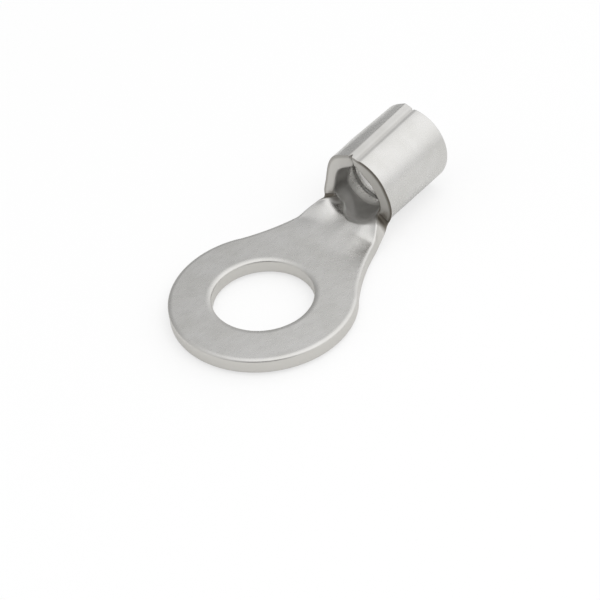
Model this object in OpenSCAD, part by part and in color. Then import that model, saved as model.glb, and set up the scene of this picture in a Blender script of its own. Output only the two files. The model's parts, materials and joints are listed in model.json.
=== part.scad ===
// Bare ring terminal: a flat eye and neck of tinned copper sheet whose far end is rolled
// into a wire barrel with a brazed seam on top. It is one piece of metal throughout.
// Origin: centre of the stud hole, on the underside of the tongue.
// +X runs along the neck towards the barrel, +Z is up. Millimetres.

/* [Sheet] */
// Thickness of the copper sheet
sheet_t = 1; // [0.7:0.05:1.2]
// Rounding that blanking and tumbling leave on the cut edges
edge_r = 0.15; // [0.08:0.01:0.25]

/* [Eye] */
// Outside diameter of the eye
eye_d = 12; // [10:0.5:15]
// Diameter of the stud hole
hole_d = 6.5; // [4.3:0.1:8.5]

/* [Neck] */
// Distance from the middle of the stud hole to the front edge of the barrel
reach = 9.7; // [8.6:0.1:14]
// Width of the neck where it enters the barrel, measured round the sheet
neck_w = 5.2; // [3.6:0.1:6.4]
// Radius of the hollow curve of the neck's sides
neck_curve_r = 15; // [8:0.5:30]
// Length over which the flat neck curls up to the roundness of the barrel
curl_len = 2.4; // [1.5:0.1:3.4]
// Radius of the inside corner between the neck and the front edge of the barrel
corner_r = 0.45; // [0.2:0.05:0.8]

/* [Barrel] */
// Outside diameter of the rolled barrel
barrel_d = 5.7; // [4.8:0.1:7]
// Length of the barrel
barrel_len = 6.8; // [5:0.1:10]
// How far the bottom of the barrel lies below the underside of the tongue
barrel_drop = 0.2; // [0:0.05:0.5]

/* [Seam] */
// Direction of the seam, in degrees from the terminal's left side
seam_angle = 90; // [80:1:100]
// Width of the brazed band that closes the seam
band_w = 0.85; // [0.5:0.05:1.2]
// Height of the band's left crest over the round of the barrel
crest_rise = 0.12; // [0.04:0.02:0.2]
// Radius of the soft groove along the right side of the band
band_groove_r = 0.12; // [0.08:0.01:0.2]
// How far the two rolled walls part inside, under the seam
notch_depth = 0.3; // [0.1:0.05:0.4]
// Width of the split that stays open at both ends of the seam
split_w = 0.14; // [0.08:0.02:0.3]
// Length of that split
split_len = 0.35; // [0.1:0.05:0.8]

/* [Serrations] */
// Number of grooves that grip the wire
groove_count = 3; // [1:1:4]
// Distance between the middles of two grooves
groove_pitch = 1.2; // [0.8:0.1:1.3]
// Width of a groove
groove_w = 0.35; // [0.2:0.05:0.5]
// Depth of a groove
groove_depth = 0.12; // [0.05:0.01:0.2]

/* [Hidden] */

eye_r = eye_d / 2;
hole_r = hole_d / 2;
barrel_r = barrel_d / 2;
bore_r = barrel_r - sheet_t;
roll_r = barrel_r - sheet_t / 2;
axis_z = barrel_r - barrel_drop;
curl_x = reach - curl_len;

// Cutters reach this far past the faces that they cut
past = 1;
// The hollow sides of the neck bite this far into the rim of the eye
bite = 0.02;
// The curled neck runs this far into the flat neck and into the barrel's wall, where it is
// this much thinner on each side than they are, and it starts a hair inside their faces
tuck = 0.25;
tuck_in = 0.1;
hair = 0.01;
// Faces round a full circle
round_fn = 96;

// Centre of the hollow arc of the neck's left side: the arc runs on from the rim of the eye
// and passes through the neck's corner at the barrel.
corner_far = norm([reach, neck_w / 2]);
arc_far = eye_r + neck_curve_r - bite;
arc_along = (pow(arc_far, 2) - pow(neck_curve_r, 2) + pow(corner_far, 2)) / (2 * corner_far);
arc_aside = sqrt(pow(arc_far, 2) - pow(arc_along, 2));
arc_turn = atan2(neck_w / 2, reach);
arc_c = [
    arc_along * cos(arc_turn) - arc_aside * sin(arc_turn),
    arc_along * sin(arc_turn) + arc_aside * cos(arc_turn)
];
touch = arc_c * eye_r / arc_far;

// Half the neck's width at x, measured round the sheet, with the small inside corner
// that opens out to the front edge of the barrel.
function side_w(x) = arc_c[1] - sqrt(neck_curve_r * neck_curve_r - pow(x - arc_c[0], 2));
function corner_w(x) =
    let (d = max(0, x - (reach - corner_r)))
    corner_r - sqrt(max(0, corner_r * corner_r - d * d));
function half_w(x) = side_w(x) + corner_w(x);

// 0 at the start of the curl and 1 at the barrel, level at both ends
function ease(x) = let (u = min(1, max(0, (x - curl_x) / curl_len))) u * u * (3 - 2 * u);

// Where a point of the flat sheet goes when the neck is curled. The sheet's middle plane
// follows an arc that grows rounder along x; s is the way round that arc from the centre
// line and h is the height over the middle plane. `inset` draws the two faces together.
function curled(x, s, h) =
    let (
        bend = max(ease(x), 0.0005) / roll_r,
        turn = s * bend * 180 / PI,
        low = sheet_t / 2 - barrel_drop * ease(x)
    )
    [x, (1 / bend - h) * sin(turn), low + 1 / bend - (1 / bend - h) * cos(turn)];

// The sheet's section: a bar of half width w and thickness t with rounded edges, as
// [s, h] points round it, `steps` across each face and `turns` in each corner.
function bar(w, t, e, steps, turns) = [
    for (i = [0:steps]) [(w - e) * (1 - 2 * i / steps), t / 2],
    for (i = [1:turns]) let (a = 90 + 90 * i / turns) [-w + e + e * cos(a), t / 2 - e + e * sin(a)],
    for (i = [1:turns]) let (a = 180 + 90 * (i - 1) / turns) [-w + e + e * cos(a), e - t / 2 + e * sin(a)],
    for (i = [0:steps]) [(e - w) * (1 - 2 * i / steps), -t / 2],
    for (i = [1:turns]) let (a = 270 + 90 * i / turns) [w - e + e * cos(a), e - t / 2 + e * sin(a)],
    for (i = [1:turns]) let (a = 90 * (i - 1) / turns) [w - e + e * cos(a), t / 2 - e + e * sin(a)]
];

// A cutter whose round wall flares out at both faces of the sheet, so that the edge it
// leaves is rounded
module flared_cutter(r) {
    rotate_extrude($fn = round_fn)
        difference() {
            translate([0, -past])
                square([r + edge_r, sheet_t + 2 * past]);
            translate([r, edge_r])
                square([2 * edge_r, sheet_t - 2 * edge_r]);
            for (z = [edge_r, sheet_t - edge_r])
                translate([r + edge_r, z])
                    circle(r = edge_r, $fn = 32);
        }
}

// Disc of the eye, with its rim rounded on both faces
module eye_disc() {
    rotate_extrude($fn = round_fn) {
        square([eye_r - edge_r, sheet_t]);
        translate([0, edge_r])
            square([eye_r, sheet_t - 2 * edge_r]);
        for (z = [edge_r, sheet_t - edge_r])
            translate([eye_r - edge_r, z])
                circle(r = edge_r, $fn = 32);
    }
}

// Flat part of the neck, from the middle of the eye to the start of the curl
module flat_neck() {
    difference() {
        linear_extrude(sheet_t)
            polygon([
                [0, 0], [touch[0], -touch[1]], [curl_x, -touch[1]],
                [curl_x, touch[1]], [touch[0], touch[1]]
            ]);
        for (side = [-1, 1])
            translate([arc_c[0], side * arc_c[1], 0])
                flared_cutter(neck_curve_r);
    }
}

// Part of the neck that curls up from flat to the round of the barrel
module curl() {
    steps = 16;
    turns = 2;
    even = 14;
    in_corner = 6;
    // Each station is its place along x and how far its section is drawn in
    stations = [
        [curl_x - tuck, tuck_in],
        [curl_x, hair],
        for (i = [1:even]) [curl_x + (curl_len - corner_r) * i / even, 0],
        for (i = [1:in_corner - 1]) [reach - corner_r * (1 - sin(90 * i / in_corner)), 0],
        [reach, hair],
        [reach + tuck, tuck_in]
    ];
    last = len(stations) - 1;
    n = len(bar(1, 1, edge_r, steps, turns));
    points = [
        for (st = stations)
            for (p = bar(half_w(st[0]) - st[1], sheet_t - 2 * st[1], edge_r, steps, turns))
                curled(st[0], p[0], p[1])
    ];
    // Each end is closed by a strip of faces across the thickness of the sheet
    facing = 2 * (steps + turns) + 1;
    across = [
        for (j = [-turns:steps + turns - 1])
            let (a = (j + n) % n, b = (j + 1 + n) % n, c = (facing - j - 1) % n, d = (facing - j) % n)
            each [[a, b, c], [a, c, d]]
    ];
    faces = [
        each across,
        for (i = [0:last - 1], j = [0:n - 1])
            let (a = i * n + j, b = i * n + (j + 1) % n) each [[a, a + n, b], [b, a + n, b + n]],
        for (f = across) [for (k = [2:-1:0]) last * n + f[k]]
    ];
    polyhedron(points, faces, convexity = 4);
}

// Point at radius r and direction a in the barrel's section, from the barrel's axis
function polar(r, a) = [r * cos(a), r * sin(a)];

// Angle between a pointed arch's tip and the place where its straight side leaves the
// round of radius r, when the tip stands `rise` above it
function arch(r, rise) = acos(r / (r + rise));

// Outside of the barrel's section: round, with straight left wall up to the crest of the
// brazed band, and the flat of the band down to the right wall
module barrel_outline() {
    half_band = band_w / 2 / barrel_r * 180 / PI;
    crest = seam_angle - half_band;
    foot = seam_angle + half_band;
    difference() {
        union() {
            circle(r = barrel_r, $fn = round_fn);
            polygon([
                [0, 0],
                polar(barrel_r, crest - arch(barrel_r, crest_rise)),
                polar(barrel_r + crest_rise, crest),
                polar(barrel_r, foot)
            ]);
        }
        translate(polar(barrel_r + band_groove_r / 2, foot))
            circle(r = band_groove_r, $fn = 32);
    }
}

// Pointed hollow under the seam, where the rolled edges stand straight
module seam_notch() {
    lean = arch(bore_r, notch_depth);
    polygon([
        [0, 0],
        polar(bore_r, seam_angle - lean),
        polar(bore_r + notch_depth, seam_angle),
        polar(bore_r, seam_angle + lean)
    ]);
}

// Puts a section drawn from the barrel's axis in place and carries it along the barrel
module along_barrel(from, length) {
    translate([from, 0, axis_z])
        rotate([90, 0, 90])
            linear_extrude(length)
                children();
}

// Rounded edge cutter for the outside of one end of the barrel, over `sweep` degrees
// from direction `start`, drawn at the front end
module end_edge_cutter(start, sweep) {
    rotate([90, 0, 90])
        rotate_extrude(angle = sweep, start = start, $fn = round_fn)
            difference() {
                translate([barrel_r - edge_r, -past])
                    square([edge_r + past, past + edge_r]);
                translate([barrel_r - edge_r, edge_r])
                    circle(r = edge_r, $fn = 32);
            }
}

// Wire barrel: the sheet rolled round until its edges meet on top
module barrel() {
    corner_turn = (half_w(reach) / roll_r) * 180 / PI;
    difference() {
        along_barrel(reach, barrel_len)
            barrel_outline();
        // Wire bore, with the pointed hollow under the seam
        translate([reach - past, 0, axis_z])
            rotate([0, 90, 0])
                cylinder(r = bore_r, h = barrel_len + 2 * past, $fn = round_fn);
        along_barrel(reach - past, barrel_len + 2 * past)
            seam_notch();
        // Serrations that grip the wire
        for (i = [0:groove_count - 1])
            translate([reach + barrel_len / 2 + (i - (groove_count - 1) / 2) * groove_pitch, 0, axis_z])
                rotate([0, 90, 0])
                    cylinder(r = bore_r + groove_depth, h = groove_w, center = true, $fn = round_fn);
        // Split of the seam, open at both ends
        for (x = [reach, reach + barrel_len])
            translate([x, 0, axis_z])
                rotate([seam_angle - 90, 0, 0])
                    translate([-split_len, -split_w / 2, bore_r])
                        cube([2 * split_len, split_w, sheet_t + past]);
        // Rounded outer edges of both ends; the front one stops at the neck's corners
        translate([reach, 0, axis_z])
            end_edge_cutter(270 + corner_turn, 360 - 2 * corner_turn);
        translate([reach + barrel_len, 0, axis_z])
            mirror([1, 0, 0])
                end_edge_cutter(0, 360);
    }
}

// The whole terminal
module ring_terminal() {
    color("silver") {
        difference() {
            union() {
                eye_disc();
                flat_neck();
            }
            flared_cutter(hole_r);
        }
        curl();
        barrel();
    }
}

ring_terminal();
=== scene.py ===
"""A bare ring terminal of tinned copper sheet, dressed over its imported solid.

The terminal is one piece of sheet: an eye with a stud hole, a neck that curls up through a
short bend, and a barrel whose two edges meet in a seam on top. It is built here the way it
is made. Every surface starts on the flat blank, where a point is (x, s, h): x runs from the
stud hole to the barrel, s runs across the sheet, and h is the height above the middle of
its thickness. One function then curls the blank up, and the grids are joined to one skin.
Lengths are in millimetres until a mesh is filled, and in metres after that.
"""

import json
import logging
import math
from dataclasses import dataclass, field
from enum import Enum
from typing import Any

import bmesh
import bpy
import numpy as np
from mathutils import Matrix, Vector


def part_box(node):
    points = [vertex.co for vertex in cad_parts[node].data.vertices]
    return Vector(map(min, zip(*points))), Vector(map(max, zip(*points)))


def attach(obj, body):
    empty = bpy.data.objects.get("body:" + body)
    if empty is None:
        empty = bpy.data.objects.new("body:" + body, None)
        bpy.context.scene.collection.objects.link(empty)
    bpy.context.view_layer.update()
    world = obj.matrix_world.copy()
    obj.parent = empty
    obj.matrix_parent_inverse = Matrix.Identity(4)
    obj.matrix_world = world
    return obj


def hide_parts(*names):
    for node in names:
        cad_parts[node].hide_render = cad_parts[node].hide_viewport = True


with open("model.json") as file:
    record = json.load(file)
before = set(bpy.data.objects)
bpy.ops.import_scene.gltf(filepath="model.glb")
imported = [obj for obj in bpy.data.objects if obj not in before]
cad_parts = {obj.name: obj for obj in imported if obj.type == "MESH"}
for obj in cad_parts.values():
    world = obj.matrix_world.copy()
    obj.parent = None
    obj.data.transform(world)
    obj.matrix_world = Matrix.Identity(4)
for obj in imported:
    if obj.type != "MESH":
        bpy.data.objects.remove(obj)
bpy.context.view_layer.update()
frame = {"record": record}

Array = np.ndarray
Band = tuple[float, float]
NODE = "ring_terminal"
MM = 0.001
# Points closer than this are one point.
MERGE_MM = 0.0002
# The flat part counts as curled by this share, so that its bend has a centre.
LEAST_CURL = 1e-6
# The floor lies this far below the terminal, so that the two never share a plane.
FLOOR_GAP_MM = 0.02
LOG = logging.getLogger("ring_terminal")


def ramp(value: Array | float, low: float, high: float) -> Array:
    """Goes smoothly from 0 at low to 1 at high: u*u*(3 - 2u), where u is the share of the way.

    Args:
        value: The values to map.
        low: Where it starts.
        high: Where it ends.

    Returns:
        The ramp, of the values' shape.
    """
    u = np.clip((np.asarray(value, float) - low) / (high - low), 0.0, 1.0)
    return u * u * (3.0 - 2.0 * u)


def bell(value: Array, middle: Array | float, half_width: Array | float) -> Array:
    """Is 1 at the middle and 0 from half_width away: the squared cosine of a quarter turn.

    Args:
        value: The values to map.
        middle: Where it is 1.
        half_width: Distance to where it is 0.

    Returns:
        The bell, of the values' shape.
    """
    u = np.clip(np.abs(np.asarray(value, float) - middle) / half_width, 0.0, 1.0)
    return np.cos(u * math.pi / 2.0) ** 2


def linear_colour(code: str) -> tuple[float, float, float, float]:
    """Turns an sRGB hex code to the linear colour that a shader takes.

    Args:
        code: Six hex digits after a hash sign.

    Returns:
        Red, green, blue and an opacity of 1.
    """
    parts = [int(code[i:i + 2], 16) / 255.0 for i in (1, 3, 5)]
    red, green, blue = [p / 12.92 if p <= 0.04045 else ((p + 0.055) / 1.055) ** 2.4 for p in parts]
    return red, green, blue, 1.0


class Side(Enum):
    """The two faces of the sheet. The value is the sign of h."""

    INSIDE = 1
    OUTSIDE = -1


@dataclass(frozen=True)
class EdgeRound:
    """The outline of a sheared edge through the sheet's thickness, rounded on both corners.

    The punch rolls the inside corner over: it is wide and shallow round the eye and the
    hole, and narrows to a small round at the barrel. A station says how far the edge stands
    out from the outline as a share of a corner's width, which share of the way it is from
    the inside face to the outside face, and a shift in h.
    """

    hole_width: float = 0.36
    eye_width: float = 0.28
    barrel_width: float = 0.10
    inside_depth: float = 0.13
    outside_width: float = 0.12
    barrel_outside: float = 0.07
    outside_depth: float = 0.09
    narrow_from: float = 6.0
    narrow_to: float = 9.0
    arc_steps: int = 6
    wall_steps: int = 4

    def width(self, side: Side, x: Array | float) -> Array:
        """Gives the width of a corner on one face of the sheet, at x along the outline.

        Args:
            side: Which face of the sheet.
            x: Length along the blank, at the outline.

        Returns:
            The width of the corner.
        """
        change = ramp(np.asarray(x, float), self.narrow_from, self.narrow_to)
        if side is Side.OUTSIDE:
            return self.outside_width + (self.barrel_outside - self.outside_width) * change
        return self.eye_width + (self.barrel_width - self.eye_width) * change

    def stations(self) -> tuple[Array, Array, Array, Array, Array]:
        """Lays out the stations from the inside face over the cut wall to the outside face.

        A quarter of an ellipse leaves the inside face, the wall runs straight down, and a
        second quarter ends on the outside face.

        Returns:
            How much of the inside corner's width and of the outside corner's width the
            station lies back by, the share through the sheet, the shift in h, and how much
            of a cut face it is (0 to 1).
        """
        turn = np.linspace(0.0, math.pi / 2.0, self.arc_steps + 1)
        back, deep = 1.0 - np.sin(turn), 1.0 - np.cos(turn)
        wall = np.linspace(0.0, 1.0, self.wall_steps + 1)[1:-1]
        zero, one = np.zeros_like(turn), np.ones_like(turn)
        near = np.concatenate([back, 0.0 * wall, zero])
        far = np.concatenate([zero, 0.0 * wall, back[::-1]])
        share = np.concatenate([zero, wall, one])
        wall_shift = self.outside_depth * wall - self.inside_depth * (1.0 - wall)
        shift = np.concatenate([-self.inside_depth * deep, wall_shift, self.outside_depth * deep[::-1]])
        cut = np.concatenate([deep, np.ones_like(wall), deep[::-1]])
        return near, far, share, shift, cut


@dataclass(frozen=True)
class Swell:
    """How the neck's inside face swells, drops into the barrel, and past its crest carries a painted shade
    and is rougher.

    On the middle line start and crest count ahead of the barrel's mouth. Near the walls the
    crest lies further back, by left_back and right_back. It grows with power and falls off
    over fall. A band is where a smooth ramp starts and ends: turn and fade go across the
    sheet, trough_shade_start counts behind the crest, and trough_shade_end behind the mouth.
    The painted shade lies in the trough where the neck drops into the barrel.
    """

    height: float = 0.37
    start: float = 4.2
    crest: float = 1.25
    power: float = 1.6
    fall: float = 1.3
    left_back: float = 1.25
    left_turn: Band = (-0.6, 1.9)
    right_back: float = 0.25
    right_turn: Band = (1.4, 2.6)
    left_fade: Band = (1.3, 3.2)
    right_fade: Band = (1.5, 3.3)
    trough_shade: float = 0.20
    trough_shade_start: Band = (-0.05, 0.25)
    trough_shade_end: Band = (1.5, 2.0)

    def behind_crest(self, along: Array, s: Array) -> Array:
        """Counts along from the crest, which runs back towards both walls.

        Args:
            along: Distance behind the barrel's mouth, below 0 ahead of it.
            s: Distance across the blank.

        Returns:
            The distance behind the crest, below 0 ahead of it.
        """
        back = self.left_back * ramp(s, *self.left_turn) + self.right_back * ramp(-s, *self.right_turn)
        return along + self.crest - back

    def dulled(self, along: Array, s: Array) -> Array:
        """Gives the painted shade on the inside face behind the crest, in the trough where the neck drops
        into the barrel. The same share makes the tin rougher there.

        Args:
            along: Distance behind the barrel's mouth, below 0 ahead of it.
            s: Distance across the blank.

        Returns:
            The share of painted shade, from 0 to 1.
        """
        # Painted shade in the trough, from the crest to a little inside the barrel.
        behind = self.behind_crest(along, s)
        return self.trough_shade * ramp(behind, *self.trough_shade_start) * (1.0 - ramp(along, *self.trough_shade_end))

    def lift(self, along: Array, s: Array) -> Array:
        """Gives how far the inside face stands out.

        Along x it grows as a power of the way from the start to the crest, and falls on a
        smooth ramp behind it. Across the sheet it fades out towards the neck's edges.

        Args:
            along: Distance behind the barrel's mouth, below 0 ahead of it.
            s: Distance across the blank.

        Returns:
            The height of the swell.
        """
        behind = self.behind_crest(along, s)
        way = (along + self.start) / (along + self.start - behind)
        across = (1.0 - ramp(-s, *self.right_fade)) * (1.0 - ramp(s, *self.left_fade))
        up = np.clip(way, 0.0, 1.0) ** self.power
        return self.height * up * (1.0 - ramp(behind, 0.0, self.fall)) * across


@dataclass(frozen=True)
class Blank:
    """The punched blank and its curl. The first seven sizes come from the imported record.

    The neck is neck_w wide at the barrel's mouth, between two hollow arcs that cut neck_bite
    into the eye's circle. lag and lag_past say how much later the right half starts and ends
    its curl. squeeze presses the left wall in at the mouth, most at the angle squeeze_at.
    Over sink_len the sheet sinks to the barrel's underside, and flare sets the neck's right
    edge out. A band is where a smooth ramp starts and ends: turn brings a form in across the
    sheet, fade takes it out there, and back takes it out behind the mouth.
    """

    sheet: float
    hole_r: float
    eye_r: float
    reach: float
    barrel_len: float
    bore_r: float
    axis_z: float
    neck_w: float = 5.2
    neck_curve_r: float = 15.0
    neck_bite: float = 0.02
    curl_len: float = 2.4
    corner_r: float = 0.2
    lag: float = 0.36
    lag_past: float = 0.66
    lag_turn: Band = (0.0, 1.0)
    lag_fade: Band = (0.05, 1.9)
    squeeze_outer: float = 0.50
    squeeze_inner: float = 0.32
    squeeze_at: float = 10.0
    squeeze_below: float = 42.0
    squeeze_above: float = 56.0
    squeeze_ahead: float = 1.2
    squeeze_back: Band = (0.2, 3.0)
    sink_len: float = 1.0
    flare: float = 0.11
    flare_at: float = 0.4
    flare_half: float = 0.95
    flare_turn: Band = (1.2, 2.6)
    flare_fade: Band = (3.1, 5.0)
    swell: Swell = Swell()

    @classmethod
    def from_frame(cls, record: dict[str, Any]) -> "Blank":
        """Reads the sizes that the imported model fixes.

        Args:
            record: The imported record, whose mounts hold the stud hole and the wire bore.

        Returns:
            The blank in millimetres.
        """
        mounts = {m["name"]: m for m in record["mounts"]}
        stud, wire = mounts["stud_hole"], mounts["wire_barrel"]
        low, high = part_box(NODE)
        return cls(
            sheet=stud["dims"]["length_mm"],
            hole_r=stud["dims"]["r_mm"],
            eye_r=-low.x / MM,
            reach=high.x / MM - wire["dims"]["length_mm"],
            barrel_len=wire["dims"]["length_mm"],
            bore_r=wire["dims"]["r_mm"],
            axis_z=wire["pos_m"][2] / MM,
        )

    @property
    def roll_r(self) -> float:
        """Radius of the middle of the sheet in the barrel."""
        return self.bore_r + self.sheet / 2.0

    @property
    def barrel_r(self) -> float:
        """Outer radius of the barrel."""
        return self.bore_r + self.sheet

    @property
    def drop(self) -> float:
        """How far the barrel hangs below the tongue's underside."""
        return self.barrel_r - self.axis_z

    @property
    def curl_x(self) -> float:
        """Where the neck starts to curl."""
        return self.reach - self.curl_len

    @property
    def rear_x(self) -> float:
        """Where the barrel ends."""
        return self.reach + self.barrel_len

    @property
    def hollow_centre(self) -> tuple[float, float]:
        """Centre of the hollow arc that joins the eye to the neck.

        It lies eye_r + neck_curve_r - neck_bite from the stud hole, and neck_curve_r from
        the corner where the neck meets the barrel.

        Returns:
            The centre's x and s, on the left side.
        """
        far = self.eye_r + self.neck_curve_r - self.neck_bite
        corner = math.hypot(self.reach, self.neck_w / 2.0)
        along = (far**2 - self.neck_curve_r**2 + corner**2) / (2.0 * corner)
        aside = math.sqrt(far**2 - along**2)
        turn = math.atan2(self.neck_w / 2.0, self.reach)
        return (
            along * math.cos(turn) - aside * math.sin(turn),
            along * math.sin(turn) + aside * math.cos(turn),
        )

    def side(self, x: Array) -> tuple[Array, Array]:
        """Gives the neck's half width and its slope at x, on the hollow arc.

        The half width is the arc centre's s minus the square root of the arc's radius
        squared less the distance to the centre in x squared.

        Args:
            x: Length along the blank.

        Returns:
            The half width, and its slope along x.
        """
        centre_x, centre_s = self.hollow_centre
        root = np.sqrt(self.neck_curve_r**2 - (x - centre_x) ** 2)
        return centre_s - root, (x - centre_x) / root

    @property
    def corner_s(self) -> float:
        """Half width of the blank where its neck meets the barrel."""
        return float(self.side(np.array(self.reach))[0]) + self.corner_r

    def ease(self, x: Array, s: Array) -> Array:
        """Gives how far the sheet has curled, from 0 to 1.

        It grows on a smooth ramp from curl_x to reach. The right half of the neck lags
        behind: its ramp starts lag later and ends lag_past inside the barrel. Past the
        neck's corner the lag fades out up the barrel's wall.

        Args:
            x: Length along the blank.
            s: Distance across the blank.

        Returns:
            The share of the curl.
        """
        prompt = ramp(x, self.curl_x, self.reach)
        late = ramp(x, self.curl_x + self.lag, self.reach + self.lag_past)
        share = ramp(-s, *self.lag_turn) * (1.0 - ramp(-s - self.corner_s, *self.lag_fade))
        return prompt + (late - prompt) * share

    def push(self, x: Array, s: Array, h: Array) -> Array:
        """Gives how far the barrel's left wall is pressed to the right near its mouth.

        It is a bell round squeeze_at degrees, wider above than below. The outer face moves
        more than the inner one, and it fades along x on both sides of the mouth.

        Args:
            x: Length along the blank.
            s: Distance across the blank.
            h: Height above the middle of the sheet.

        Returns:
            The distance to the right.
        """
        angle = np.degrees(s / self.roll_r) - 90.0
        spread = np.where(angle < self.squeeze_at, self.squeeze_below, self.squeeze_above)
        middle = (self.squeeze_outer + self.squeeze_inner) / 2.0
        depth = middle - (self.squeeze_outer - self.squeeze_inner) * h / self.sheet
        along = ramp(x, self.reach - self.squeeze_ahead, self.reach)
        along = along * (1.0 - ramp(x - self.reach, *self.squeeze_back))
        return depth * bell(angle, self.squeeze_at, spread) * along

    def flared(self, x: Array, s: Array) -> Array:
        """Gives how far the neck's right edge stands out to the right next to the mouth.

        Args:
            x: Length along the blank.
            s: Distance across the blank.

        Returns:
            The distance to the right.
        """
        across = ramp(-s, *self.flare_turn) * (1.0 - ramp(-s, *self.flare_fade))
        return self.flare * bell(x, self.reach - self.flare_at, self.flare_half) * across

    def rolled(self, x: Array, s: Array, h: Array) -> Array:
        """Curls points of the flat blank up to the finished terminal.

        A point past the seam counts from the other side. The neck's right edge flares out,
        and its inside face swells: the outside face stays, and what lies between them moves
        by its share of the thickness. The sheet then bends about lines along x, with a bend
        of ease/roll_r, and its underside sinks by drop. A point at s is turned by s*bend
        about the bend's centre. Last, the left wall is pressed in at the mouth.

        Args:
            x: Length along the blank.
            s: Distance across the blank.
            h: Height above the middle of the sheet.

        Returns:
            An array with x, y and z in its last axis.
        """
        x, s, h = np.broadcast_arrays(x, s, h)
        s = np.where(s > math.pi * self.roll_r, s - 2.0 * math.pi * self.roll_r, s)
        s = s - self.flared(x, s)
        h = h + self.swell.lift(x - self.reach, s) * np.clip(h / self.sheet + 0.5, 0.0, 1.0)
        bend = np.maximum(self.ease(x, s), LEAST_CURL) / self.roll_r
        low = self.sheet / 2.0 - self.drop * ramp(x, self.reach - self.sink_len, self.reach)
        arm = 1.0 / bend - h
        y = arm * np.sin(s * bend) - self.push(x, s, h)
        z = low + 1.0 / bend - arm * np.cos(s * bend)
        return np.stack([x, y, z], axis=-1)


@dataclass
class Skin:
    """Gathers grids of points and joins them to one closed skin."""

    points: list[Array] = field(default_factory=list)
    cuts: list[Array] = field(default_factory=list)
    # How much painted shade darkens each point.
    painted_shades: list[Array] = field(default_factory=list)
    quads: list[Array] = field(default_factory=list)
    count: int = 0

    def add(
        self, grid: Array, cut: Array | float = 0.0, closed: bool = False, soil: Array | float = 0.0
    ) -> None:
        """Adds one grid.

        Args:
            grid: Points of shape (rows, columns, 3), in millimetres.
            cut: How much of a cut face each point is, from 0 to 1.
            closed: Joins the last column to the first.
            soil: How much painted shade darkens each point, which also makes it rougher, from 0 to 1.
        """
        rows, columns = grid.shape[:2]
        index = self.count + np.arange(rows * columns).reshape(rows, columns)
        ahead = np.roll(index, -1, axis=1)
        if not closed:
            index, ahead = index[:, :-1], ahead[:, :-1]
        faces = np.stack([index[:-1], ahead[:-1], ahead[1:], index[1:]], axis=-1)
        self.points.append(grid.reshape(-1, 3) * MM)
        self.cuts.append(np.broadcast_to(cut, (rows, columns)).reshape(-1))
        self.painted_shades.append(np.broadcast_to(soil, (rows, columns)).reshape(-1))
        self.quads.append(faces.reshape(-1, 4))
        self.count += rows * columns

    def build(self, name: str) -> bpy.types.Object:
        """Makes the object: shared points merge, and the normals are turned outwards.

        Args:
            name: The name of the piece.

        Returns:
            The object, with its cut faces and its painted shade marked in the attributes
            cut_edge and soil.
        """
        mesh = bpy.data.meshes.new(name)
        mesh.from_pydata(np.concatenate(self.points), [], np.concatenate(self.quads))
        for label, values in (("cut_edge", self.cuts), ("soil", self.painted_shades)):
            marks = mesh.attributes.new(label, "FLOAT", "POINT")
            marks.data.foreach_set("value", np.concatenate(values).astype(np.float32))
        work = bmesh.new()
        work.from_mesh(mesh)
        bmesh.ops.remove_doubles(work, verts=work.verts, dist=MERGE_MM * MM)
        bmesh.ops.recalc_face_normals(work, faces=work.faces)
        loose = sum(1 for e in work.edges if len(e.link_faces) != 2)
        LOG.info("%s: %d faces, %d open edges", name, len(work.faces), loose)
        work.to_mesh(mesh)
        work.free()
        mesh.shade_smooth()
        piece = bpy.data.objects.new(name, mesh)
        bpy.context.scene.collection.objects.link(piece)
        return piece


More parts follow.
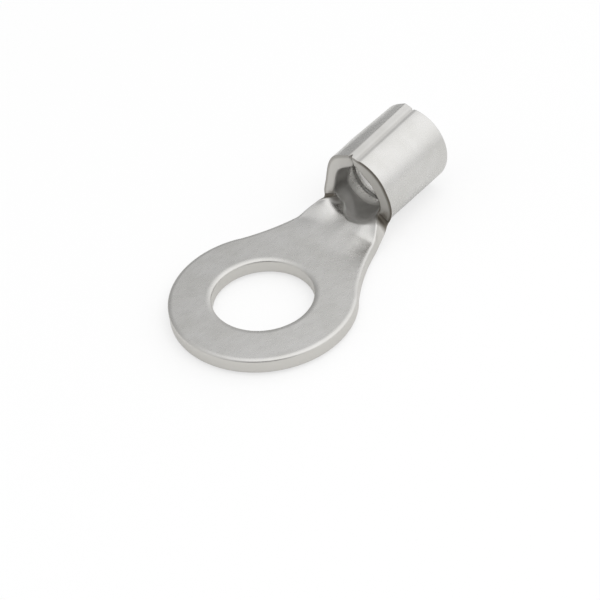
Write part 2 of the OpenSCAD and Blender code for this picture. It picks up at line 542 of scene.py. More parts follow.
@dataclass
class Tongue:
    """The eye and the neck up to the barrel, as grids on the blank.

    The plain and close values place points as shares of a ray or of the neck's half width,
    and bow is how late a row across the neck bends to meet the rounded edges. A painted
    shade darkens and roughens the cut wall or the inside face in the neck's corners, where
    they meet the barrel. Its band starts ahead of the mouth, and left_shade and right_shade
    are in half widths.
    """

    blank: Blank
    edge: EdgeRound
    rim_steps: int = 86
    hollow_steps: int = 22
    neck_steps: int = 22
    corner_steps: int = 12
    across_steps: int = 54
    across_plain: float = 0.93
    across_close: tuple[float, ...] = (0.96, 0.985, 1.0)
    ray_close: tuple[float, ...] = (0.0, 0.012, 0.04, 0.09)
    ray_plain: tuple[float, float, int] = (0.16, 0.84, 8)
    bow: float = 6.0
    # Painted shade in the neck's corners beside the barrel, on the cut wall and on the inside face.
    wall_shade: float = 0.9
    wall_shade_band: Band = (-0.75, -0.25)
    wall_shade_low: float = 0.8
    face_shade: float = 0.6
    face_shade_band: Band = (-0.65, -0.2)
    left_shade: Band = (0.66, 0.88)
    right_shade: Band = (0.86, 0.97)

    @property
    def across(self) -> Array:
        """Shares of the neck's half width from edge to edge, closer near both edges."""
        close = np.array(self.across_close)
        plain = np.linspace(-self.across_plain, self.across_plain, self.across_steps)
        return np.concatenate([-close[::-1], plain, close])

    def eye_outline(self) -> tuple[Array, Array]:
        """Walks the outline from the neck over the tip and back, up to where the curl starts.

        The rim is a circle of eye_r. Each hollow arc has its centre beside the neck, so its
        outward normal points to that centre.

        Returns:
            Points (x, s) and outward normals.
        """
        blank = self.blank
        centre = np.array(blank.hollow_centre)
        touch = centre / np.linalg.norm(centre) * blank.eye_r
        turn = np.linspace(math.atan2(touch[1], touch[0]), math.pi, self.rim_steps + 1)
        normal = np.stack([np.cos(turn), np.sin(turn)], axis=-1)
        rim = blank.eye_r * normal
        x = np.linspace(blank.curl_x, touch[0], self.hollow_steps + 1)[:-1]
        hollow = np.stack([x, blank.side(x)[0]], axis=-1)
        inward = (centre - hollow) / blank.neck_curve_r
        points = np.concatenate([hollow, rim])
        normals = np.concatenate([inward, normal])
        flip = np.array([1.0, -1.0])
        return (
            np.concatenate([points, points[-2::-1] * flip]),
            np.concatenate([normals, normals[-2::-1] * flip]),
        )

    def neck_outline(self) -> tuple[Array, Array]:
        """Walks one side of the neck from the curl's start to the barrel's front face.

        The side follows the hollow arc, then a fillet of corner_r turns it outwards to run
        along the front face: its width grows by corner_r*(1 - cos a) as x grows by
        corner_r*sin a. The outward normal is the tangent turned by a quarter turn.

        Returns:
            Points (x, s) on the left side and their outward normals.
        """
        blank = self.blank
        bend_x = blank.reach - blank.corner_r
        turn = np.linspace(0.0, math.pi / 2.0, self.corner_steps + 1)
        plain = np.linspace(blank.curl_x, bend_x, self.neck_steps + 1)[:-1]
        x = np.concatenate([plain, bend_x + blank.corner_r * np.sin(turn)])
        turn = np.concatenate([np.zeros_like(plain), turn])
        width, slope = blank.side(x)
        width = width + blank.corner_r * (1.0 - np.cos(turn))
        normal = np.stack([-(slope * np.cos(turn) + np.sin(turn)), np.cos(turn)], axis=-1)
        normal[-1] = (-1.0, 0.0)
        normal /= np.linalg.norm(normal, axis=-1, keepdims=True)
        return np.stack([x, width], axis=-1), normal

    def neck_row(self, side: Side) -> tuple[Array, Array]:
        """Lays rows across the neck on one face of the sheet.

        Each row joins the two rounded edges of a station. It is straight in the middle and
        bows to meet them: x = station - width * normal_x * share**bow.

        Args:
            side: Which face of the sheet.

        Returns:
            x and s, of shape (stations, shares).
        """
        points, normals = self.neck_outline()
        width = self.edge.width(side, points[:, :1])
        share = self.across[None, :]
        x = points[:, :1] - width * normals[:, :1] * np.abs(share) ** self.bow
        s = share * (points[:, 1:] - width * normals[:, 1:])
        return x, s

    def ring_faces(self, skin: Skin, side: Side) -> None:
        """Adds one flat face of the eye: rays from the hole to the outline or the neck.

        Args:
            skin: The skin to add to.
            side: Which face of the sheet.
        """
        blank = self.blank
        points, normals = self.eye_outline()
        row_x, row_s = self.neck_row(side)
        chord = np.stack([row_x[0, 1:-1], row_s[0, 1:-1]], axis=-1)
        outer = np.concatenate([points - self.edge.width(side, points[:, :1]) * normals, chord])
        aim = np.arctan2(*self.ray_ends().T[::-1])
        corner = self.edge.hole_width if side is Side.INSIDE else self.edge.outside_width
        inner = (blank.hole_r + corner) * np.stack([np.cos(aim), np.sin(aim)], axis=-1)
        close = np.array(self.ray_close)
        share = np.concatenate([close, np.linspace(*self.ray_plain), 1.0 - close[::-1]])
        flat = inner[None] + share[:, None, None] * (outer - inner)[None]
        h = side.value * blank.sheet / 2.0
        skin.add(blank.rolled(flat[..., 0], flat[..., 1], h), closed=True)

    def ray_ends(self) -> Array:
        """Gives the plain outline points that the rays from the stud hole aim at."""
        points, _ = self.eye_outline()
        neck, _ = self.neck_outline()
        chord = self.across[1:-1] * neck[0, 1]
        return np.concatenate([points, np.stack([np.full_like(chord, neck[0, 0]), chord], axis=-1)])

    def hole_wall(self, skin: Skin) -> None:
        """Adds the wall of the stud hole: the edge outline carried round a circle.

        Args:
            skin: The skin to add to.
        """
        near, far, share, shift, cut = self.edge.stations()
        aim = np.arctan2(*self.ray_ends().T[::-1])
        back = near * self.edge.hole_width + far * self.edge.outside_width
        radius = self.blank.hole_r + back[:, None]
        h = (0.5 - share[:, None]) * self.blank.sheet + shift[:, None]
        grid = self.blank.rolled(radius * np.cos(aim), radius * np.sin(aim), h)
        skin.add(grid, cut[:, None], closed=True)

    def rim_wall(self, skin: Skin) -> None:
        """Adds the outer wall: the edge outline carried along the blank's whole outline.

        Args:
            skin: The skin to add to.
        """
        near, far, share, shift, cut = self.edge.stations()
        eye, eye_normal = self.eye_outline()
        neck, neck_normal = self.neck_outline()
        flip = np.array([1.0, -1.0])
        points = np.concatenate([neck[:0:-1], eye, neck[1:] * flip])
        normals = np.concatenate([neck_normal[:0:-1], eye_normal, neck_normal[1:] * flip])
        back = near * self.edge.width(Side.INSIDE, points[:, :1])
        back = back + far * self.edge.width(Side.OUTSIDE, points[:, :1])
        spot = points[:, None, :] - normals[:, None, :] * back[:, :, None]
        h = (0.5 - share) * self.blank.sheet + shift
        # Painted shade on the cut wall near the neck's corners.
        corner = self.wall_shade * ramp(points[:, :1] - self.blank.reach, *self.wall_shade_band)
        grid = self.blank.rolled(spot[..., 0], spot[..., 1], h[None, :])
        skin.add(grid, cut[None, :], soil=corner * np.maximum(cut, self.wall_shade_low)[None, :])

    def neck_faces(self, skin: Skin, side: Side) -> None:
        """Adds one face of the curling neck.

        Args:
            skin: The skin to add to.
            side: Which face of the sheet.
        """
        x, s = self.neck_row(side)
        soil: Array | float = 0.0
        if side is Side.INSIDE:
            # Painted shade on the inside face: in the trough behind the swell's crest, and in the neck's
            # corners.
            along = x - self.blank.reach
            corner = self.face_shade * ramp(along, *self.face_shade_band)
            near_edge = ramp(self.across, *self.left_shade) + ramp(-self.across, *self.right_shade)
            soil = np.maximum(self.blank.swell.dulled(along, s), corner * near_edge[None, :])
        skin.add(self.blank.rolled(x, s, side.value * self.blank.sheet / 2.0), soil=soil)

    def add_to(self, skin: Skin) -> None:
        """Adds the eye and the neck to the skin."""
        for side in Side:
            self.ring_faces(skin, side)
            self.neck_faces(skin, side)
        self.hole_wall(skin)
        self.rim_wall(skin)


@dataclass
class Barrel:
    """The barrel with its seam on top. Angles are in degrees, from the left side upwards.

    A turn is an angle plus 90, so it counts from the barrel's bottom. The lapped band falls
    from its crest to its foot, and both wander from front to rear. The bore has a blunt arch
    under it, whose lines start at apex_low and apex_high. The seam is split open for
    split_len at both ends, from split_inner on the inside face to split_outer on the
    outside. The serrations lie groove_x behind the mouth. A painted shade is how much a place
    is darkened towards brown and made rougher, from 0 to 1. Rows and columns set the grid: how
    many, how far past a place the fine ones reach, and their step. line is a painted shade
    line along the outside of the front edge, and inner is a painted shadow line along its inside.
    """

    blank: Blank
    edge: EdgeRound
    tongue: Tongue
    crest_front: float = 85.2
    crest_rear: float = 80.0
    foot_front: float = 98.5
    foot_rear: float = 92.8
    rise_front: float = 0.12
    rise_rear: float = 0.24
    crest_soft: float = 1.4
    crest_steps: int = 7
    foot_depth: float = 0.035
    foot_w: float = 0.30
    # Painted shade in the soft groove at the band's foot, and a slight darkening on the band.
    foot_shade: float = 0.12
    foot_shade_w: float = 5.0
    band_darkening: float = 0.08
    band_darkening_foot: float = 2.0
    band_darkening_start: Band = (79.0, 83.0)
    shoulder_at: float = 62.0
    shoulder_spread: float = 24.0
    shoulder_front: float = 0.03
    shoulder_rear: float = 0.13
    apex_low: float = 59.0
    apex_high: float = 131.0
    apex_r: float = 2.22
    arch_reach: float = 0.7
    band_reach: float = 0.6
    split_len: float = 0.28
    split_w: float = 0.14
    split_power: float = 0.7
    split_inner: float = 92.0
    split_outer: float = 87.6
    rear_split: float = 92.0
    seam_line: float = 0.05
    seam_line_w: float = 1.2
    groove_x: tuple[float, ...] = (2.05, 3.4, 4.6)
    groove_w: float = 0.90
    groove_soft: float = 0.05
    groove_depth: float = 0.12
    # Painted shadow along the near edge of the first serration.
    groove_shadow: float = 0.85
    groove_shadow_w: float = 0.11
    edge_fade: float = 1.2
    row_close: tuple[float, ...] = (0.0, 0.03, 0.09)
    row_plain: float = 0.18
    outer_rows: int = 44
    inner_rows: int = 96
    wall_columns: int = 142
    near_corner: Band = (0.5, 1.0)
    split_columns: tuple[float, float] = (2.5, 0.25)
    band_columns: tuple[float, float, float] = (2.0, 4.0, 0.45)
    apart: float = 0.12
    off_corner: float = 0.2
    # Painted shade lines along the front edge's outer and inner corners.
    edge_line_shade: float = 0.85
    line_low: float = 0.35
    line_turn: Band = (183.0, 195.0)
    line_cut: float = 0.12
    inner_turn: Band = (183.0, 190.0)
    inner_cut: Band = (0.3, 0.9)

    @property
    def corner(self) -> float:
        """Turn from the barrel's bottom to the neck's corner, in degrees."""
        points, _ = self.tongue.neck_outline()
        return math.degrees(points[-1, 1] / self.blank.roll_r)

    def columns(self) -> tuple[Array, Array]:
        """Lays out the columns round the barrel, as turns from its bottom.

        The neck's own columns come first. The free wall has even ones, and they close up
        round the seam, the crest and the foot of the band.

        Returns:
            The turns in degrees, and the share of the bow at the front, which is 1 on the
            free wall.
        """
        share = self.tongue.across
        neck = share * self.corner
        low, high = self.corner, 360.0 - self.corner
        near = np.array(self.near_corner)
        spots = [np.linspace(low, high, self.wall_columns), low + near, high - near]
        past, step = self.split_columns
        spots.append(np.arange(self.split_outer + 90.0 - past, self.split_inner + 90.0 + past, step))
        below, past, step = self.band_columns
        spots.append(np.arange(self.crest_rear + 90.0 - below, self.foot_front + 90.0 + past, step))
        free = np.unique(np.round(np.concatenate(spots), 4))
        free = free[np.concatenate([[True], np.diff(free) > self.apart])]
        inside = (free > low + self.off_corner) & (free < high - self.off_corner)
        free = np.concatenate([[low], free[inside]])
        turn = np.concatenate([neck[:-1], free, [high]])[:-1]
        bow = np.concatenate([np.abs(share[:-1]) ** self.tongue.bow, np.ones(len(free))])
        return turn, bow

    def foot(self, x: Array) -> Array:
        """Gives the angle of the band's foot, which wanders along the barrel.

        Args:
            x: Length along the blank.

        Returns:
            The angle in degrees.
        """
        way = (x - self.blank.reach) / self.blank.barrel_len
        return self.foot_front + (self.foot_rear - self.foot_front) * way

    def outer_r(self, angle: Array, x: Array) -> Array:
        """Gives the outer radius round the barrel and along it.

        A straight line rises from the circle to the crest, barrel_r / cos of the angle past
        its start. A straight band then falls from the crest to the circle. Crest and foot
        wander a little along the barrel, and the crest stands higher at the rear. It is
        averaged over a short arc, a soft groove marks the foot of the band, and the left
        wall is a little fuller towards the rear.

        Args:
            angle: Angles in degrees.
            x: Length along the blank.

        Returns:
            The radius.
        """
        r = self.blank.barrel_r
        way = (x - self.blank.reach) / self.blank.barrel_len
        crest = np.radians(self.crest_front + (self.crest_rear - self.crest_front) * way)
        foot = np.radians(self.foot(x))
        crest_r = r + self.rise_front + (self.rise_rear - self.rise_front) * way
        start = crest - np.arccos(r / crest_r)
        ay, az = crest_r * np.cos(crest), crest_r * np.sin(crest)
        by, bz = r * np.cos(foot), r * np.sin(foot)
        nudges = np.radians(np.linspace(-self.crest_soft, self.crest_soft, self.crest_steps))
        total = np.zeros(np.broadcast(angle, x).shape)
        for nudge in nudges:
            w = np.radians(angle) + nudge
            rise = r / np.cos(np.clip(w - start, 0.0, self.band_reach))
            near = np.clip(w, crest, foot)
            band = (ay * bz - az * by) / (np.cos(near) * (bz - az) - np.sin(near) * (by - ay))
            total = total + np.where(w <= crest, rise, band)
        groove = bell(np.radians(angle), foot, self.foot_w / r)
        lift = self.shoulder_front + (self.shoulder_rear - self.shoulder_front) * way
        lift = lift * bell(angle, self.shoulder_at, self.shoulder_spread)
        return total / len(nudges) - self.foot_depth * groove + lift

    def inner_r(self, angle: Array, x: Array) -> Array:
        """Gives the inner radius round the bore and along it.

        Two lines leave the bore's circle, bore_r / cos of the angle past their start, and
        meet in a blunt arch under the seam. Three shallow serrations run round the bore,
        and a fine line marks the closed seam.

        Args:
            angle: Angles in degrees.
            x: Length along the blank.

        Returns:
            The radius.
        """
        r = self.blank.bore_r
        up = r / np.cos(np.clip(np.radians(angle - self.apex_low), 0.0, self.arch_reach))
        down = r / np.cos(np.clip(np.radians(self.apex_high - angle), 0.0, self.arch_reach))
        radius = np.minimum(np.minimum(up, down), self.apex_r)
        groove = np.zeros(np.broadcast(angle, x).shape)
        for middle in self.groove_x:
            away = np.abs(x - self.blank.reach - middle) - self.groove_w / 2.0
            groove = groove + 1.0 - ramp(away, -self.groove_soft, self.groove_soft)
        radius = np.maximum(radius, r + self.groove_depth * groove)
        return radius + self.seam_line * bell(angle, self.split_inner, self.seam_line_w)

    def setback(self, angle: Array, share: Array | float, rear: bool) -> Array:
        """Gives how far the seam's split cuts in at an end: a V, split_len deep, split_w wide.

        Args:
            angle: Angles in degrees.
            share: Share through the sheet: 0 is the inside face, and 1 the outside.
            rear: Whether it is the rear end.

        Returns:
            The distance from the end.
        """
        middle = self.split_outer * share + self.split_inner * (1.0 - np.asarray(share))
        if rear:
            middle = np.full_like(middle, self.rear_split)
        half = math.degrees(self.split_w / 2.0 / self.blank.roll_r)
        open_share = np.clip(1.0 - np.abs(angle - middle) / half, 0.0, 1.0)
        return self.split_len * open_share**self.split_power

    def height(self, angle: Array, x: Array, share: Array | float) -> Array:
        """Gives h between the two faces: share 0 is the inside face, and 1 the outside.

        Args:
            angle: Angles in degrees.
            x: Length along the blank.
            share: Share through the sheet: 0 is the inside face, and 1 the outside.

        Returns:
            The height above the middle of the sheet.
        """
        roll = self.blank.roll_r
        inside = roll - self.inner_r(angle, x)
        outside = roll - self.outer_r(angle, x)
        return inside * (1.0 - share) + outside * share

    def placed(self, turn: Array, x: Array, h: Array) -> Array:
        """Rolls points of the barrel up from their turn in degrees."""
        return self.blank.rolled(x, np.radians(turn) * self.blank.roll_r, h)

    def wall(self, skin: Skin, side: Side) -> None:
        """Adds one face of the barrel's wall.

        Rows run from end to end, closer near both ends. The first and last rows follow the
        rounded edges, and that offset fades out over edge_fade.

        Args:
            skin: The skin to add to.
            side: Which face of the sheet.
        """
        blank = self.blank
        radius = float(self.edge.width(side, blank.reach))
        turn, bow = self.columns()
        angle = turn - 90.0
        share = 0.0 if side is Side.INSIDE else 1.0
        count = self.inner_rows if side is Side.INSIDE else self.outer_rows
        close = np.array(self.row_close)
        row = np.concatenate([close, np.linspace(self.row_plain, blank.barrel_len - self.row_plain, count)])
        row = np.concatenate([row, blank.barrel_len - close[::-1]])[:, None]
        front = radius * bow + self.setback(angle, share, False)
        rear = radius + self.setback(angle, share, True)
        x = blank.reach + row + front[None] * (1.0 - ramp(row, 0.0, self.edge_fade))
        x = x - rear[None] * (1.0 - ramp(blank.barrel_len - row, 0.0, self.edge_fade))
        h = self.height(angle[None], x, share)
        # Painted shade on the wall: in the bore, and in the groove at the band's foot.
        soil = self.inside_shade(turn[None], x) if side is Side.INSIDE else self.outside_darkening(angle[None], x)
        skin.add(self.placed(turn[None], x, h), closed=True, soil=soil)

    def inside_shade(self, turn: Array, x: Array) -> Array:
        """Gives the painted shade in the bore: past the neck's swell, and a painted shadow line at the
        first serration's edge. Both also make the tin rougher.

        Args:
            turn: Turns in degrees.
            x: Length along the blank.

        Returns:
            The share of painted shade, from 0 to 1.
        """
        away = x - self.blank.reach - self.groove_x[0] + self.groove_w / 2.0
        arc = np.radians(np.where(turn > 180.0, turn - 360.0, turn)) * self.blank.roll_r
        line = self.groove_shadow * bell(away, 0.0, self.groove_shadow_w)
        return np.maximum(line, self.blank.swell.dulled(x - self.blank.reach, arc))

    def outside_darkening(self, angle: Array, x: Array) -> Array:
        """Gives how much darker and rougher the outside is: a painted shade in the groove along the band's
        foot, and a slight darkening on the band.

        Args:
            angle: Angles in degrees.
            x: Length along the blank.

        Returns:
            The share of darkening, from 0 to 1.
        """
        foot = self.foot(x)
        groove = self.foot_shade * bell(angle, foot, self.foot_shade_w)
        band = ramp(foot - angle, 0.0, self.band_darkening_foot) * ramp(angle, *self.band_darkening_start)
        return groove + self.band_darkening * band

    def front_edge(self, skin: Skin) -> None:
        """Adds the front edge of the free wall, from one corner of the neck to the other.

        Fine lines of painted shade run where it meets the outside face and, on the right, the inside one.

        Args:
            skin: The skin to add to.
        """
        near, far, share, shift, cut = (v[:, None] for v in self.edge.stations())
        back = near * self.edge.barrel_width + far * self.edge.barrel_outside
        turn, bow = self.columns()
        first = len(self.tongue.across) - 1
        turn = np.concatenate([turn[first:], [360.0 - self.corner]])[None]
        x = self.blank.reach + self.setback(turn - 90.0, share, False) + back
        h = self.height(turn - 90.0, x, share) + shift
        # Painted shade lines along the front edge's outer corner and, on the right, its inner corner.
        full = self.line_low + (1.0 - self.line_low) * ramp(turn, *self.line_turn)
        line = (share == 1.0) * ramp(cut, 0.0, self.line_cut) * full
        inner = (share == 0.0) * (1.0 - ramp(cut, *self.inner_cut)) * ramp(turn, *self.inner_turn)
        skin.add(self.placed(turn, x, h), cut, soil=self.edge_line_shade * (line + inner))

    def rear_edge(self, skin: Skin) -> None:
        """Adds the rear edge all round.

        Args:
            skin: The skin to add to.
        """
        near, far, share, shift, cut = (v[:, None] for v in self.edge.stations())
        back = near * self.edge.barrel_width + far * self.edge.barrel_outside
        turn = self.columns()[0][None]
        x = self.blank.rear_x - self.setback(turn - 90.0, share, True) - back
        h = self.height(turn - 90.0, x, share) + shift
        skin.add(self.placed(turn, x, h), cut, closed=True)

    def add_to(self, skin: Skin) -> None:
        """Adds the barrel to the skin."""
        for side in Side:
            self.wall(skin, side)
        self.front_edge(skin)
        self.rear_edge(skin)


def add_node(tree: bpy.types.NodeTree, kind: str, settings: dict[str, Any], inputs: dict[Any, Any]) -> Any:
    """Adds a node with its settings and links.

    Args:
        tree: The node tree.
        kind: The node's type name.
        settings: Properties of the node.
        inputs: A value or an output socket for each input, by name or number.

    Returns:
        The node.
    """
    node = tree.nodes.new(kind)
    for name, value in settings.items():
        setattr(node, name, value)
    for name, value in inputs.items():
        if isinstance(value, bpy.types.NodeSocket):
            tree.links.new(value, node.inputs[name])
        else:
            node.inputs[name].default_value = value
    return node


@dataclass(frozen=True)
class TinPlate:
    """Satin electroplated tin over copper sheet.

    Matt tin spreads a reflection over a wide soft sheen. The plating is a little cloudy
    over a millimetre or two and gently uneven over less, so that the sheen breaks up as on
    real sheet. It is duller where the sheet was sheared. Painted shade darkens it to brown and
    makes it rougher in the neck's corners and trough, in the creases of the barrel, and along
    the barrel's front edge. The grain of real tin is too fine to show, so it is drawn as
    coarse as grain_mm. Sizes that end in mm are lumps or heights in real millimetres.
    """

    bright: str = "#DBDAD8"
    cloudy: str = "#D5D4D1"
    sheared: str = "#D7D5D1"
    roughness: float = 0.28
    sheared_roughness: float = 0.36
    # Painted shade: the brown that shaded places are darkened towards, and their roughness.
    shade_brown: str = "#6E675C"
    shade_roughness: float = 0.62
    roughness_swing: float = 0.03
    shade_full: float = 0.2
    cloud_detail: float = 3.0
    fine_detail: float = 2.0
    cloud_mm: float = 1.6
    cloud_band: Band = (0.35, 0.65)
    mottle_mm: float = 0.35
    mottle_band: Band = (0.3, 0.7)
    grain_mm: float = 0.09
    grain_height_mm: float = 0.0013
    wave_mm: float = 0.8
    wave_height_mm: float = 0.012

    def material(self) -> bpy.types.Material:
        """Builds the plating's material.

        Returns:
            A metal whose colour, roughness and fine relief come from patterns in the
            object's own coordinates.
        """
        material = bpy.data.materials.new("satin_tin_plate")
        material.use_nodes = True
        tree = material.node_tree
        tree.nodes.clear()
        place = add_node(tree, "ShaderNodeTexCoord", {}, {}).outputs["Object"]
        cut, soil = (
            add_node(tree, "ShaderNodeAttribute", {"attribute_name": name}, {}).outputs["Fac"]
            for name in ("cut_edge", "soil")
        )

        def noise(size_mm: float, detail: float) -> Any:
            """Adds a noise whose lumps are about size_mm across."""
            inputs = {"Vector": place, "Scale": 1.0 / (size_mm * MM), "Detail": detail}
            return add_node(tree, "ShaderNodeTexNoise", {}, inputs).outputs["Fac"]

        def spread(value: Any, band: Band, result: Band = (0.0, 1.0)) -> Any:
            """Maps a band of values to another."""
            inputs = {"Value": value, 1: band[0], 2: band[1], 3: result[0], 4: result[1]}
            return add_node(tree, "ShaderNodeMapRange", {}, inputs).outputs["Result"]

        def tinted(share: Any, base: Any, code: str) -> Any:
            """Mixes a colour into the base."""
            inputs = {"Factor": share, 6: base, 7: linear_colour(code)}
            return add_node(tree, "ShaderNodeMix", {"data_type": "RGBA"}, inputs).outputs[2]

        def dulled(share: Any, base: Any, roughness: float) -> Any:
            """Mixes a roughness into the base."""
            inputs = {"Factor": share, "A": base, "B": roughness}
            return add_node(tree, "ShaderNodeMix", {}, inputs).outputs[0]

        cloud = spread(noise(self.cloud_mm, self.cloud_detail), self.cloud_band)
        mottle = spread(noise(self.mottle_mm, self.fine_detail), self.mottle_band)
        tone = tinted(cloud, linear_colour(self.bright), self.cloudy)
        tone = tinted(cut, tone, self.sheared)
        # Painted shade darkens the tone towards brown.
        tone = tinted(soil, tone, self.shade_brown)
        swing = (self.roughness - self.roughness_swing, self.roughness + self.roughness_swing)
        rough = dulled(cut, spread(mottle, (0.0, 1.0), swing), self.sheared_roughness)
        rough = dulled(spread(soil, (0.0, self.shade_full)), rough, self.shade_roughness)
        relief: Any = None
        for size, height in ((self.wave_mm, self.wave_height_mm), (self.grain_mm, self.grain_height_mm)):
            lumps = noise(size, self.fine_detail)
            inputs = {"Strength": 1.0, "Distance": height * MM, "Height": lumps}
            if relief is not None:
                inputs["Normal"] = relief.outputs["Normal"]
            relief = add_node(tree, "ShaderNodeBump", {}, inputs)
        shader = add_node(
            tree, "ShaderNodeBsdfPrincipled", {},
            {"Base Color": tone, "Metallic": 1.0, "Roughness": rough, "Normal": relief.outputs["Normal"]},
        )
        add_node(tree, "ShaderNodeOutputMaterial", {}, {"Surface": shader.outputs["BSDF"]})
        return material


@dataclass(frozen=True)
class SoftBox:
    """A square area lamp. It hangs in a direction from the terminal and faces it.

    Attributes:
        name: The lamp's name.
        towards: The direction from the terminal to the lamp.
        size: Its side in metres.
        radiance: How brightly it shines: its power over pi and over its area.
        distance: How far away it is, in metres.
    """

    name: str
    towards: tuple[float, float, float]
    size: float
    radiance: float
    distance: float = 0.4

    def hang(self, centre: Vector) -> None:
        """Makes the lamp. Its power is radiance * pi * area.

        It is hidden from the metal's reflections, so it only lights the floor round the
        shadow. The surround alone lights the tin.

        Args:
            centre: The place that the lamp faces.
        """
        lamp = bpy.data.lights.new(self.name, "AREA")
        lamp.shape = "SQUARE"
        lamp.size = self.size
        lamp.energy = self.radiance * math.pi * self.size**2
        holder = bpy.data.objects.new(self.name, lamp)
        back = Vector(self.towards).normalized()
        holder.matrix_world = Matrix.Translation(centre + back * self.distance) @ (
            back.to_track_quat("Z", "Y").to_matrix().to_4x4()
        )
        holder.visible_camera = False
        holder.visible_glossy = False
        bpy.context.scene.collection.objects.link(holder)


@dataclass(frozen=True)
class Glow:
    """A soft patch of the surround. It adds strength where a direction is near its middle.

    Attributes:
        towards: The middle of the patch.
        strength: What it adds; below 0 it darkens.
        edge: The cosine of the angle where the patch starts to show.
        full: The cosine of the angle within which it has its full strength.
    """

    towards: tuple[float, float, float]
    strength: float
    edge: float
    full: float


@dataclass(frozen=True)
class Studio:
    """A plain pale floor, a soft lamp overhead and a plain surround with soft patches.

    paper is the floor as a source of light. shown_paper with own_light is what the camera
    and glass see, and mirrored_paper with mirrored_light is what the metal mirrors.
    """

    floor_z: float
    floor_size: float = 1.2
    floor_lines: int = 9
    surround: float = 0.735
    paper: str = "#F2F2F1"
    shown_paper: str = "#959595"
    own_light: float = 0.66
    mirrored_paper: str = "#CFCFCE"
    mirrored_light: float = 0.16
    lamp: SoftBox = SoftBox("overhead", (-0.05, -0.35, 0.93), 0.38, 1.34)
    glows: tuple[Glow, ...] = (
        Glow((0.3, -0.38, 0.9), 0.47, 0.40, 0.95),
        Glow((0.30, 0.95, 0.10), -0.30, 0.50, 0.95),
        Glow((-0.70, -0.55, 0.35), -0.58, 0.70, 0.95),
    )

    def lay_floor(self) -> None:
        """Makes the floor, a flat grid whose look depends on what sees it.

        To the camera it is a grey paper that glows, so it comes out white and keeps the
        terminal's shadow. In the metal it is a pale paper that glows less, which comes out
        darker. To any other ray it is plain pale paper.
        """
        half = self.floor_size / 2.0
        line = np.linspace(-half, half, self.floor_lines)
        x, y = np.meshgrid(line, line, indexing="ij")
        points = np.stack([x, y, np.full_like(x, self.floor_z)], axis=-1).reshape(-1, 3)
        index = np.arange(line.size**2).reshape(line.size, line.size)
        quads = np.stack([index[:-1, :-1], index[1:, :-1], index[1:, 1:], index[:-1, 1:]], axis=-1)
        mesh = bpy.data.meshes.new("floor")
        mesh.from_pydata(points, [], quads.reshape(-1, 4))
        floor = bpy.data.objects.new("floor", mesh)
        bpy.context.scene.collection.objects.link(floor)
        material = bpy.data.materials.new("white_paper_sweep")
        material.use_nodes = True
        tree = material.node_tree
        tree.nodes.clear()
        path = add_node(tree, "ShaderNodeLightPath", {}, {}).outputs
        plain = add_node(tree, "ShaderNodeBsdfDiffuse", {}, {"Color": linear_colour(self.paper)})
        surface = plain.outputs[0]
        looks = (
            ("Is Glossy Ray", self.mirrored_paper, self.mirrored_light),
            ("Is Transmission Ray", self.shown_paper, self.own_light),
            ("Is Camera Ray", self.shown_paper, self.own_light),
        )
        for ray, paper, light in looks:
            plain = add_node(tree, "ShaderNodeBsdfDiffuse", {}, {"Color": linear_colour(paper)})
            glow = add_node(tree, "ShaderNodeEmission", {}, {"Strength": light})
            lit = add_node(tree, "ShaderNodeAddShader", {}, {0: plain.outputs[0], 1: glow.outputs[0]})
            surface = add_node(
                tree, "ShaderNodeMixShader", {}, {0: path[ray], 1: surface, 2: lit.outputs[0]}
            ).outputs[0]
        add_node(tree, "ShaderNodeOutputMaterial", {}, {"Surface": surface})
        mesh.materials.append(material)

    def light_surround(self) -> None:
        """Sets the world: white to the camera, and a grey with soft patches to all else.

        A patch adds its strength times a ramp of the cosine between the direction and the
        patch's middle.
        """
        world = bpy.data.worlds.new("surround")
        bpy.context.scene.world = world
        world.use_nodes = True
        tree = world.node_tree
        tree.nodes.clear()
        direction = add_node(tree, "ShaderNodeTexCoord", {}, {}).outputs["Generated"]
        total: Any = self.surround
        for glow in self.glows:
            middle = tuple(Vector(glow.towards).normalized())
            near = add_node(
                tree, "ShaderNodeVectorMath", {"operation": "DOT_PRODUCT"}, {0: direction, 1: middle}
            ).outputs["Value"]
            share = add_node(
                tree, "ShaderNodeMapRange", {"interpolation_type": "SMOOTHSTEP"},
                {"Value": near, 1: glow.edge, 2: glow.full, 3: 0.0, 4: glow.strength},
            ).outputs["Result"]
            added = add_node(tree, "ShaderNodeMath", {"operation": "ADD"}, {0: total, 1: share})
            total = added.outputs[0]
        path = add_node(tree, "ShaderNodeLightPath", {}, {})
        dim = add_node(tree, "ShaderNodeBackground", {}, {"Strength": total})
        white = add_node(tree, "ShaderNodeBackground", {}, {"Strength": 1.0})
        for node in (dim, white):
            node.inputs["Color"].default_value = (1.0, 1.0, 1.0, 1.0)
        both = add_node(
            tree, "ShaderNodeMixShader", {},
            {0: path.outputs["Is Camera Ray"], 1: dim.outputs[0], 2: white.outputs[0]},
        )
        add_node(tree, "ShaderNodeOutputWorld", {}, {"Surface": both.outputs[0]})

    def set_up(self, centre: Vector) -> None:
        """Makes the floor, the surround and the lamp.

        Args:
            centre: The terminal's middle, which the lamp faces.
        """
        self.lay_floor()
        self.light_surround()
        self.lamp.hang(centre)


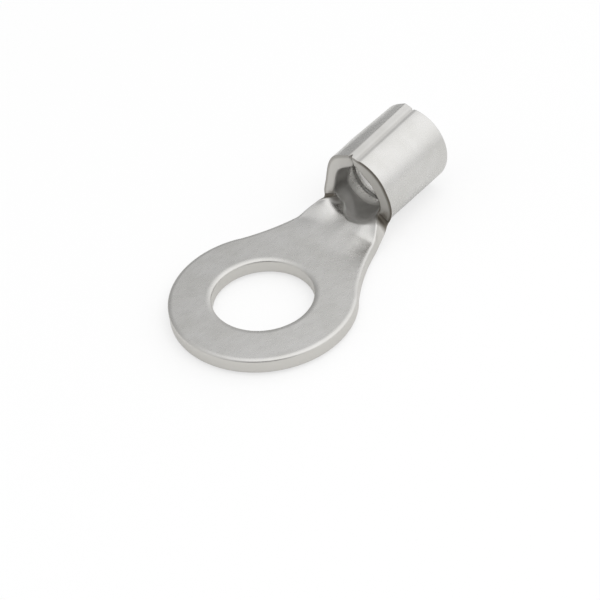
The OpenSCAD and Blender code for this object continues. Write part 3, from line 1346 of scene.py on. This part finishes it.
@dataclass(frozen=True)
class Viewpoint:
    """The camera: where it looks, from which side, and how it is rolled.

    Angles are in degrees, the sensor's width in millimetres and the clip in metres.
    """

    target_mm: tuple[float, float, float] = (1.684, -1.556, 0.0)
    azimuth: float = -47.521
    elevation: float = 41.665
    roll: float = -6.006
    distance_mm: float = 82.288
    lens: float = 78.09
    sensor: float = 36.0
    clip: Band = (0.005, 10.0)

    def set_up(self) -> bpy.types.Object:
        """Makes the camera and gives it to the scene.

        Its z axis points back from the target, and its x and y axes are the level ones
        turned by the roll.

        Returns:
            The camera.
        """
        azimuth, elevation = math.radians(self.azimuth), math.radians(self.elevation)
        back = Vector((
            math.sin(azimuth) * math.cos(elevation),
            -math.cos(azimuth) * math.cos(elevation),
            math.sin(elevation),
        ))
        right = Vector((0.0, 0.0, 1.0)).cross(back).normalized()
        up = back.cross(right)
        roll = math.radians(self.roll)
        across = math.cos(roll) * right + math.sin(roll) * up
        upward = math.cos(roll) * up - math.sin(roll) * right
        place = Vector(self.target_mm) * MM + back * (self.distance_mm * MM)
        data = bpy.data.cameras.new("camera")
        data.lens = self.lens
        data.sensor_width = self.sensor
        data.clip_start, data.clip_end = self.clip
        camera = bpy.data.objects.new("camera", data)
        turn = Matrix((across, upward, back)).transposed().to_4x4()
        camera.matrix_world = Matrix.Translation(place) @ turn
        bpy.context.scene.collection.objects.link(camera)
        bpy.context.scene.camera = camera
        return camera


@dataclass
class RingTerminal:
    """The whole terminal: one skin of tin-plated sheet."""

    blank: Blank
    edge: EdgeRound = field(default_factory=EdgeRound)
    finish: TinPlate = field(default_factory=TinPlate)

    def build(self) -> bpy.types.Object:
        """Builds the skin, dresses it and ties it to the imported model.

        Returns:
            The finished piece.
        """
        skin = Skin()
        tongue = Tongue(self.blank, self.edge)
        tongue.add_to(skin)
        Barrel(self.blank, self.edge, tongue).add_to(skin)
        piece = skin.build("terminal_sheet")
        piece.data.materials.append(self.finish.material())
        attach(piece, "root")
        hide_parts(NODE)
        return piece


def main() -> None:
    """Builds the camera, the terminal and the studio."""
    logging.basicConfig(level=logging.INFO, format="%(name)s: %(message)s")
    bpy.context.scene.view_settings.view_transform = "Standard"
    Viewpoint().set_up()
    LOG.info("camera set")
    piece = RingTerminal(Blank.from_frame(frame["record"])).build()
    LOG.info("%s: %d triangles", piece.name, sum(len(p.vertices) - 2 for p in piece.data.polygons))
    low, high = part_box(NODE)
    Studio(floor_z=low.z - FLOOR_GAP_MM * MM).set_up((low + high) / 2.0)
    LOG.info("studio set")


if __name__ == "__main__":
    main()
